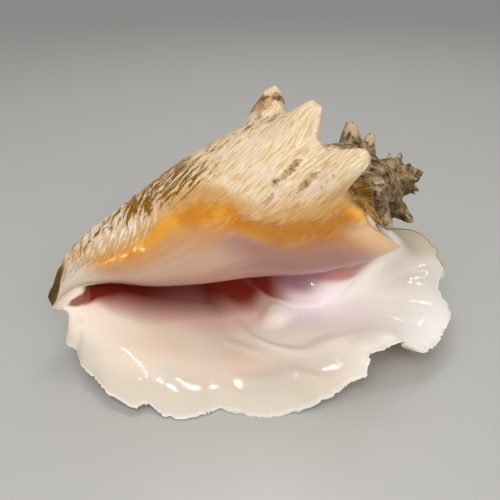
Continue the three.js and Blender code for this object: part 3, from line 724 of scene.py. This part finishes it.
# Where the brown skin of the siphon tip ends: row, angle
TIP_BORDER = [(0, -60), (.02, -45), (.03, -25), (.044, 4), (.06, 30), (.1, 60)]
# How far the rose in front of the mouth reaches: row, place across; row where the slit has none
PINK_REACH = [
    (0, .3), (.1, .42), (.15, .36), (.3, .38), (.45, .44), (.55, .44), (.65, .42), (.72, .26), (.8, .14),
    (1, .1)]
PINK_SLIT_ROW = .13
# Dark red of the throat with painted shade under the columella: row and place across the lip where it starts
# to fade; row and length of the fade
DARK_STARTS = [
    (0, .19), (.1, .19), (.107, .18), (.114, .165), (.125, .14), (.139, .09), (.159, .055), (.18, .03),
    (.21, 0), (.27, 0), (.33, -.035), (.4, -.065), (.48, -.05), (.54, .015), (.6, .085), (.65, .16),
    (.67, .18), (1, .18)]
DARK_FADES = [
    (0, .08), (.105, .09), (.125, .1), (.139, .12), (.159, .2), (.18, .28), (.21, .34), (.27, .35), (.4, .31),
    (.48, .24), (.54, .18), (.6, .12), (.65, .11), (1, .11)]
# Last value: strength of the painted shadow in the slit
DARK_POWER, DARK_WAY_IN, SLIT_PAINTED_SHADOW = 1.15, -.5, .9
LILAC_SIZE, LILAC_ROW, LILAC_HALF = .85, .684, .018
# Angle past which the spire's first turn is still fresh; direction that the spire's painted shade faces
FRESH_ANGLE, PAINTED_SHADE_WAY = 35, np.array([0, -.5, -.85])
# Keeps the noise of the lip's inside apart from the whorl's
INSIDE_SHIFT = 50.0


def inside(on_the_lip, in_the_mouth):
    """Values for the inside of the lip and for the mouth, 0 elsewhere."""
    return np.where(on_inner, on_the_lip, np.where(on_mouth, in_the_mouth, 0))


store("grow", np.stack([arc, z, np.where(on_inner, INSIDE_SHIFT, 0.0)], 1))
store("grow_front", np.stack([front_line, front_along, 0 * z], 1))
store("front", front)
store("along", np.where(on_spire, 1.0, row_of))
store("across", across)
store("inside", inside(1.0, 1.0))
store("under", np.where(on_lip, 1.0, 0.0))
store("rim", np.where(on_rim, 1.0, inside(by_across(.97, .998), 0)))
store("pit", clamp(pit))

# Glaze, and its pale free edge beside the spire, partly a painted highlight
store("callus", callus)
store("amber", callus / curve(AMBER_WIDTH)(row_of))
mouthward = clamp((place - ANGLE_MOUTH) / (border - ANGLE_MOUTH))
store("mouthward", np.where(on_body, mouthward, 0))
store("free_edge_and_highlight", by_row(.88, .92) * by_angle(-24, -34) * on_body)

# Brown skin: left in patches, behind between the spines, and at the siphon tip
skin_patches = (.56 + .24 * by_row(.22, .36)) * by_angle(16, 50) * by_row(.06, .12) * by_row(.68, .5)
skin_behind = .55 * by_angle(45, 75) * by_row(.45, .6) * by_spine(.2, .03)
store("olive", np.maximum(skin_patches, skin_behind) * on_body)
tip_gap = place - curve(TIP_BORDER)(row_of)
store("tip", by_row(.1, .06) * np.where(on_body, smooth(-7, 7, tip_gap), on_lip * 1.0))

# Darker striped tan on the ramp beside the spire, and crust on the spines
store("ramp", by_row(.87, .93) * by_angle(-38, -27) * by_angle(40, 22) * on_body * outside)
crust = by_spine(.04, .4) * (1 - .6 * by_spine(.7, .95))
store("crust", crust * (.35 * by_angle(45, 62) + .65 * by_angle(70, 84)) * on_body)

# Old whorls, the worn tips of their spines, and painted shade with some dirt where they face down and forward
store("spire", on_spire * np.where(place > FRESH_ANGLE, by_row(.46, .62), 1.0))
store("spine", spine_top * np.where(on_spire, .5 + .8 * by_angle(20, 50), 1))
# Painted shade: darker where the old whorls face down and forward
store("below", smooth(-.1, .7, vertex_normals(placed) @ PAINTED_SHADE_WAY) * on_spire)

# Rose in front of the mouth, but not in the slit
pink = inside(1 - smooth(.2, 1.2, across / curve(PINK_REACH)(row_of)), by_row(.73, .64))
in_slit = on_mouth & (row_of < PINK_SLIT_ROW)
store("pink", pink * np.where(in_slit, by_way_in(.3, .1), 1) * by_row(.055, .12))

# Dark red of the throat, partly painted shade, and painted shadow in the slit
fading = (inside(across, DARK_WAY_IN * place) - curve(DARK_STARTS)(row_of)) / curve(DARK_FADES)(row_of)
throat_red_and_shade = (1 - clamp(fading) ** DARK_POWER) * by_row(.692, .664)
throat_red_and_shade = throat_red_and_shade * inside(by_row(.05, .1), by_row(.105, .122) * slit_cover)
store("throat_red_and_shade", np.maximum(throat_red_and_shade, groove * SLIT_PAINTED_SHADOW))

# Far wall of the mouth at the spire end with its shaded part, and lilac beside the knob
wall = inside(0, by_way_in(.42, .6)) * by_row(.55, .62) * by_row(.82, .74)
store("wall", wall)
store("wall_shade", wall * by_way_in(.65, .92))
lilac = inside(0, LILAC_SIZE * by_way_in(.15, .34))
store("lilac", lilac * np.exp(-((row_of - LILAC_ROW) / LILAC_HALF) ** 2))

# Fair part beside the knob, and grey of the flap at the spire end, partly painted shade, reaching as painted
# shade under the end of the glaze
fair = inside(by_across(.68, .5), by_way_in(.5, .2))
store("fair", fair * by_row(.655, .69) * by_row(.86, .78))
store("flap", (.4 * by_row(.84, .91) + .45 * by_row(.922, .942)) * inside(1, by_way_in(.8, .3)))


class Graph:
    """Short hand for making shader nodes."""

    def __init__(self, name):
        self.material = bpy.data.materials.new(name)
        self.material.use_nodes = True
        self.tree = self.material.node_tree
        self.tree.nodes.clear()

    def node(self, kind, inputs, output=0, **settings):
        made = self.tree.nodes.new(kind)
        for key, value in settings.items():
            setattr(made, key, value)
        for key, value in inputs.items():
            if isinstance(value, bpy.types.NodeSocket):
                self.tree.links.new(value, made.inputs[key])
            else:
                made.inputs[key].default_value = value
        return made.outputs[output]

    def surface(self, inputs):
        shader = self.node("ShaderNodeBsdfPrincipled", inputs)
        out = self.tree.nodes.new("ShaderNodeOutputMaterial")
        self.tree.links.new(shader, out.inputs["Surface"])

    def attribute(self, name, output="Fac"):
        return self.node("ShaderNodeAttribute", {}, output, attribute_name=name)

    def math(self, operation, a, b=0.0, clamp=False):
        return self.node("ShaderNodeMath", {0: a, 1: b}, operation=operation, use_clamp=clamp)

    def times(self, *values):
        return reduce(partial(self.math, "MULTIPLY"), values)

    def plus(self, *values):
        return reduce(partial(self.math, "ADD"), values)

    def swing(self, value, size):
        """Noise around zero."""
        return self.math("MULTIPLY", self.math("SUBTRACT", value, .5), size)

    def step(self, value, low, high):
        """Soft step from 0 at low to 1 at high."""
        inputs = {0: value, 1: low, 2: high, 3: 0.0, 4: 1.0}
        return self.node("ShaderNodeMapRange", inputs, interpolation_type="SMOOTHSTEP")

    def between(self, share, a, b):
        return self.node("ShaderNodeMix", {0: share, 2: a, 3: b}, 0, data_type="FLOAT")

    def mix(self, share, a, b):
        return self.node("ShaderNodeMix", {0: share, 6: a, 7: b}, 2, data_type="RGBA")

    def coats(self, base, *coats):
        """The base with coats over it, each a colour, its share, and masks that limit it."""
        for colour, share, *masks in coats:
            base = self.mix(self.times(*masks, share), base, colour)
        return base

    def noise(self, vector, scale, detail=2.0, roughness=.5):
        inputs = {"Vector": vector, "Scale": scale, "Detail": detail, "Roughness": roughness}
        return self.node("ShaderNodeTexNoise", inputs)

    def stretch(self, vector, scale):
        return self.node("ShaderNodeMapping", {"Vector": vector, "Scale": scale})


def rgb(r, g, b):
    """Linear colour from screen values 0 to 255."""
    shares = [c / 255 for c in (r, g, b)]
    return tuple(c / 12.92 if c < .0404 else ((c + .055) / 1.055) ** 2.4 for c in shares) + (1.0,)


# Colours
TAN, TAN_LIGHT = rgb(222, 185, 132), rgb(246, 230, 202)
TAN_WARM, TAN_ROSE = rgb(200, 140, 56), rgb(238, 214, 192)
OLIVE, OLIVE_DARK, TIP_BROWN = rgb(160, 110, 10), rgb(98, 62, 4), rgb(90, 60, 6)
PIT_GOLD, PIT_DARK = rgb(176, 122, 54), rgb(80, 52, 24)
AMBER, AMBER_LIGHT, AMBER_DEEP = rgb(228, 156, 42), rgb(240, 186, 86), rgb(204, 126, 30)
AMBER_BROWN = rgb(160, 92, 30)
# Mauves here and below: the glaze's own mauve, darkened as painted shade where its lower edge faces down
PEACH, ROSE_WHITE, MAUVE_WITH_SHADE = rgb(200, 146, 94), rgb(202, 168, 146), rgb(188, 142, 132)
# Second colour here: lighter peach at the glaze's end, partly a painted highlight
MAUVE_DEEP_AND_SHADE, PEACH_LIGHT_AND_HIGHLIGHT = rgb(166, 120, 112), rgb(240, 196, 148)
CREAM, WHITE = rgb(252, 230, 206), rgb(248, 236, 222)
BEIGE, CHALK = rgb(243, 235, 228), rgb(244, 240, 232)
# First colour: beige of the lip's outer part, partly painted shade
EDGE_BEIGE_AND_SHADE, SIPHON_CREAM, FAIR = rgb(214, 202, 184), rgb(218, 206, 184), rgb(252, 238, 240)
# Grey of the flap, partly painted shade
FLAP_GREY_AND_SHADE = rgb(184, 168, 142)
# Second colour: the throat's red, darkened as painted shade
PINK, THROAT_RED_AND_SHADE = rgb(250, 206, 192), rgb(132, 44, 28)
LILAC, WALL_ROSE = rgb(156, 100, 126), rgb(198, 130, 128)
# Brown painted shade on the far wall of the mouth
WALL_SHADE_BROWN = rgb(156, 118, 102)
STONE_GREY, STONE_BROWN, STONE_LIGHT = rgb(172, 148, 114), rgb(112, 88, 60), rgb(214, 192, 156)
STONE_DARK = rgb(66, 48, 28)
RAMP_TAN, RAMP_DARK = rgb(200, 156, 88), rgb(112, 82, 40)
UNDER_AMBER = rgb(190, 132, 60)

g = Graph("shell")
spot = g.node("ShaderNodeTexCoord", {}, "Object")
grow, grow_front = g.attribute("grow", "Vector"), g.attribute("grow_front", "Vector")
a_callus, a_mouthward, a_along = g.attribute("callus"), g.attribute("mouthward"), g.attribute("along")
a_front, a_pit, a_inside = g.attribute("front"), g.attribute("pit"), g.attribute("inside")
a_spire, a_rim = g.attribute("spire"), g.attribute("rim")


def lines(scale, detail, roughness):
    """Noise drawn out along the growth lines."""
    back = g.noise(g.stretch(grow, scale), 1.0, detail, roughness)
    ahead = g.noise(g.stretch(grow_front, scale), 1.0, detail, roughness)
    return g.between(a_front, back, ahead)


# Noises that several colours share, along the growth lines and in space
streak = lines((1.0, .09, 1), 4.0, .62)
fine_streak = lines((2.6, .2, 1), 3.0, .65)
broad = lines((.09, .05, 1), 3.0, .55)
patch = lines((.42, .085, 1), 6.0, .7)
cloud = g.noise(spot, 24.0, 2.0, .5)
stain = g.noise(spot, 60.0, 4.0, .62)
grime = g.noise(spot, 170.0, 5.0, .68)
crumb = g.noise(spot, 520.0, 4.0, .7)
# How far a place is eaten into a pit, and how far it is inside the wavy border of the glaze
eaten = g.plus(a_pit, g.swing(crumb, 2.6), g.swing(streak, 1.2))
eaten = g.times(eaten, g.step(a_pit, .02, .25))
border_wave = g.noise(g.stretch(grow, (.3, .06, 1)), 1.0, 5.0, .62)
inward = g.plus(a_callus, g.swing(border_wave, 16.0), g.swing(streak, 8.0))


def outside_colour():
    """Rough outside: growth lines, stains, skin left in patches, pits, dark specks, crust and a darker
    striped ramp.
    """
    a_olive, a_crust = g.attribute("olive"), g.attribute("crust")
    golden = g.plus(g.step(a_callus, -24.0, -3.0), g.swing(streak, 2.6))
    skin_left = g.plus(a_olive, g.swing(patch, 3.4), g.swing(fine_streak, 1.0))
    skin_tone = g.mix(g.step(fine_streak, .38, .62), OLIVE_DARK, OLIVE)
    pit_floor = g.mix(g.step(grime, .42, .6), PIT_GOLD, TAN)
    crust_dark = g.step(g.plus(a_crust, g.swing(grime, 3.0)), .98, 1.25)
    fleck = g.step(g.plus(crumb, g.swing(fine_streak, .5)), .62, .7)
    ramp_stripes = g.step(g.plus(streak, g.swing(grime, .8)), .4, .62)
    return g.coats(
        g.mix(g.step(streak, .39, .59), TAN, TAN_LIGHT),
        (TAN_ROSE, .7, g.step(broad, .48, .62)),
        (TAN_WARM, .75, g.step(stain, .5, .7), g.step(fine_streak, .42, .62)),
        (TAN_WARM, .65, g.step(fine_streak, .52, .68)),
        (TAN_WARM, .85, g.step(golden, .35, 1.15), g.step(a_callus, -28.0, -10.0)),
        (CHALK, .85, g.step(streak, .47, .6), a_front),
        (skin_tone, 1.0, g.step(skin_left, .62, .8), g.step(a_olive, .02, .3)),
        (g.mix(g.step(stain, .4, .6), UNDER_AMBER, TAN), 1.0, g.attribute("under")),
        (pit_floor, .9, g.step(eaten, .1, .8)),
        (PIT_DARK, .85, g.step(eaten, .75, 1.1)),
        (PIT_GOLD, .7, g.step(g.plus(a_crust, g.swing(grime, 1.4)), .55, 1.1)),
        (PIT_DARK, .85, crust_dark, g.step(a_crust, .05, .3)),
        (PIT_GOLD, .8, fleck, g.step(patch, .48, .6)),
        (PIT_DARK, .7, g.step(grime, .66, .72), g.step(patch, .5, .62)),
        (g.mix(ramp_stripes, RAMP_DARK, RAMP_TAN), 1.0, g.attribute("ramp")))


def old_colour():
    """Old whorls: grey, pitted and dirty, with paler spines and painted shade on their downward-facing side.
    """
    grit = g.noise(spot, 340.0, 5.0, .72)
    tips = g.plus(g.attribute("spine"), g.swing(grime, 1.2), g.swing(stain, .8))
    hole = g.plus(g.noise(spot, 330.0, 3.0, .6), g.swing(stain, .5))
    return g.coats(
        g.mix(g.step(g.plus(grit, g.swing(stain, .4)), .36, .64), STONE_BROWN, STONE_GREY),
        # Painted shade on the side facing down and forward
        (STONE_DARK, .75, g.attribute("below")),
        (STONE_LIGHT, .7, g.step(tips, .15, .8)),
        (STONE_DARK, .8, g.step(hole, .55, .66)),
        (STONE_DARK, .85, g.step(g.plus(a_pit, g.swing(grime, .6)), .15, .65)))


def amber_colour():
    """Amber band along the border of the glaze."""
    return g.coats(
        g.mix(g.step(g.plus(stain, g.swing(streak, .8)), .36, .56), AMBER_DEEP, AMBER),
        (AMBER_LIGHT, .6, g.step(broad, .5, .64)),
        (AMBER_BROWN, .6, g.step(a_along, .52, .63), g.step(a_along, .86, .8)),
        (AMBER_LIGHT, .7, g.step(a_along, .83, .88)))


def glaze_colour():
    """Glaze spread over the whorl beside the mouth, with painted shade along its lower edge and a painted
    highlight at its end by the spire.
    """
    band_noise = g.noise(g.stretch(grow, (.22, .025, 1)), 1.0, 4.0, .55)
    inset = g.plus(a_mouthward, g.swing(cloud, .3), g.swing(band_noise, .5))
    inner_tone = g.mix(g.step(a_along, .5, .75), ROSE_WHITE, PEACH)
    colour = g.coats(
        # Mauve with painted shade at the lower edge
        g.mix(g.step(inset, .02, .4), MAUVE_WITH_SHADE, inner_tone),
        (PEACH, 1.0, g.step(inset, .3, .75)),
        # Deeper mauve, painted shade on the lower half
        (MAUVE_DEEP_AND_SHADE, .85, g.step(a_along, .44, .56), g.step(a_along, .8, .7), g.step(inset, .85, .5)),
        # Lighter peach, partly a painted highlight
        (PEACH_LIGHT_AND_HIGHLIGHT, 1.0, g.step(a_along, .76, .84)))
    past_amber = g.step(g.plus(g.attribute("amber"), g.swing(stain, .5)), .35, 1.25)
    return g.coats(
        g.mix(past_amber, amber_colour(), colour),
        (SIPHON_CREAM, 1.0, g.step(g.plus(a_along, g.swing(streak, .12)), .2, .1)),
        # Pale free edge, partly a painted highlight
        (CHALK, .85, g.attribute("free_edge_and_highlight")))


def inner_colour():
    """Inside of the lip and the mouth."""
    # Outer part of the lip: its own beige, darkened further as painted shade
    edge_beige_and_shade_zone = g.step(g.plus(g.attribute("across"), g.swing(cloud, .3)), .56, .9)
    rosy = g.step(g.plus(g.attribute("pink"), g.swing(cloud, .35)), .1, .95)
    return g.coats(
        g.mix(g.step(cloud, .38, .62), CREAM, WHITE),
        (BEIGE, 1.0, g.step(a_along, .66, .78)),
        # Beige with painted shade on the lip's outer part
        (EDGE_BEIGE_AND_SHADE, .85, edge_beige_and_shade_zone, g.step(a_along, .72, .58)),
        (FAIR, 1.0, g.attribute("fair")),
        # Flap grey and painted shade under the glaze's end
        (FLAP_GREY_AND_SHADE, 1.0, g.attribute("flap")),
        (PINK, 1.0, rosy),
        (WALL_ROSE, 1.0, g.attribute("wall")),
        (WALL_SHADE_BROWN, 1.0, g.attribute("wall_shade")),
        # Throat red with painted shade under the columella and in the slit
        (THROAT_RED_AND_SHADE, 1.0, g.attribute("throat_red_and_shade")),
        (LILAC, 1.0, g.attribute("lilac")))


surface = g.mix(a_spire, outside_colour(), old_colour())
surface = g.mix(g.step(inward, -4.0, 3.5), surface, glaze_colour())
a_tip = g.attribute("tip")
tip_streaks = g.times(g.swing(streak, 1.2), g.step(a_tip, 0.0, .2))
surface = g.mix(g.math("ADD", a_tip, tip_streaks, True), surface, TIP_BROWN)
surface = g.mix(a_inside, surface, inner_colour())
surface = g.mix(a_rim, surface, g.mix(g.step(a_along, .9, .93), CHALK, UNDER_AMBER))

# Glossy glaze, duller outside, rough old whorls; fine bumps where there is no glaze
ROUGHNESS_GLAZE, ROUGHNESS_LEAST, ROUGHNESS_MOST, ROUGHNESS_OLD = .035, .22, .55, .75
SHINE_OUTSIDE, SHINE_GLAZE, REFRACTION = .2, .5, 1.5
BUMP_STRENGTH, BUMP_DISTANCE = .8, .0007
glazed = g.step(inward, -3.0, 3.0)
gloss = g.times(g.math("MAXIMUM", glazed, a_inside), g.math("SUBTRACT", 1.0, a_rim))
worn_range = {0: stain, 1: .35, 2: .65, 3: ROUGHNESS_LEAST, 4: ROUGHNESS_MOST}
rough_out = g.between(a_spire, g.node("ShaderNodeMapRange", worn_range), ROUGHNESS_OLD)
bump_height = g.plus(g.times(fine_streak, .7), g.times(grime, .9))
bump_height = g.math("SUBTRACT", bump_height, g.times(g.step(eaten, .15, .7), 1.2))
bump_height = g.times(bump_height, g.math("SUBTRACT", 1.0, g.times(gloss, .97)))
bump_inputs = {"Strength": BUMP_STRENGTH, "Distance": BUMP_DISTANCE, "Height": bump_height}
g.surface({
    "Base Color": surface,
    "Roughness": g.between(gloss, rough_out, ROUGHNESS_GLAZE),
    "Normal": g.node("ShaderNodeBump", bump_inputs),
    "IOR": REFRACTION,
    "Specular IOR Level": g.between(gloss, SHINE_OUTSIDE, SHINE_GLAZE)})


def added(name, data):
    """New object in the scene."""
    made = bpy.data.objects.new(name, data)
    bpy.context.scene.collection.objects.link(made)
    return made


mesh.materials.append(g.material)
shell = added("conch_shell_visual", mesh)
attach(shell, "root")
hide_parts("conch_shell")

# Floor
FLOOR_HALF, FLOOR_GREY, FLOOR_ROUGHNESS = 40.0, rgb(190, 189, 185), .3
floor_graph = Graph("floor")
floor_graph.surface({"Base Color": FLOOR_GREY, "Roughness": FLOOR_ROUGHNESS})
floor_mesh = bpy.data.meshes.new("floor")
corners = [(-1, -1), (1, -1), (1, 1), (-1, 1)]
floor_mesh.from_pydata([(FLOOR_HALF * a, FLOOR_HALF * b, 0) for a, b in corners], [], [(0, 1, 2, 3)])
floor_mesh.materials.append(floor_graph.material)
floor = added("floor", floor_mesh)

# Soft studio light
WORLD_COLOUR, WORLD_STRENGTH = (1.0, .99, .97, 1), .36
world = bpy.data.worlds.new("studio")
world.use_nodes = True
background = world.node_tree.nodes["Background"].inputs
background["Color"].default_value = WORLD_COLOUR
background["Strength"].default_value = WORLD_STRENGTH
bpy.context.scene.world = world
bpy.context.scene.view_settings.view_transform = "Standard"


def area(name, stand, aim, size, power, mirrored=True):
    """Lamp at one place that points at another; mirrored ones show as reflections."""
    data = bpy.data.lights.new(name, "AREA")
    data.shape = "RECTANGLE"
    data.size, data.size_y = size
    data.energy = power
    lamp = added(name, data)
    lamp.location = stand
    lamp.visible_glossy = mirrored
    lamp.rotation_euler = (Vector(aim) - Vector(stand)).to_track_quat("-Z", "Y").to_euler()


area("softbox", (-.3, -.7, 1.0), (0, 0, 0), (.9, .7), 4.6, False)
area("fill", (.35, -.9, .6), (0, 0, .05), (.9, .6), 5.2, False)
area("strip_front", (-.15, -.75, .85), (0, 0, .05), (.12, .004), .3)
area("strip_back", (.33, 1.07, 1.0), (.33, 1.07, 0), (.5, .005), .7)
area("strip_long", (.06, .95, 1.0), (.06, .95, 0), (.005, .9), 1.3)
area("strip_over", (.12, .5, 1.0), (.05, 0, 0), (.5, .0045), 1.0)
area("strip_side", (-.14, .42, 1.0), (.05, 0, 0), (.0045, .35), .8)
area("strip_low", (-.69, -1.06, .25), (0, 0, .1), (.012, .4), 1.0)

# Camera at the photograph's place
CAMERA_MM = (-6.43, -282.65, 191.5)
PITCH_DOWN, CLIP_START = 27.0, .01
FOCAL_PIXELS, FRAME_PIXELS, SENSOR_MM = 549.0, 500.0, 36.0
camera_data = bpy.data.cameras.new("camera")
camera_data.sensor_width = SENSOR_MM
camera_data.lens = SENSOR_MM * FOCAL_PIXELS / FRAME_PIXELS
camera_data.clip_start = CLIP_START
camera = added("camera", camera_data)
camera.location = [c / 1000 for c in CAMERA_MM]
camera.rotation_euler = (math.radians(90 - PITCH_DOWN), 0, 0)
bpy.context.scene.camera = camera
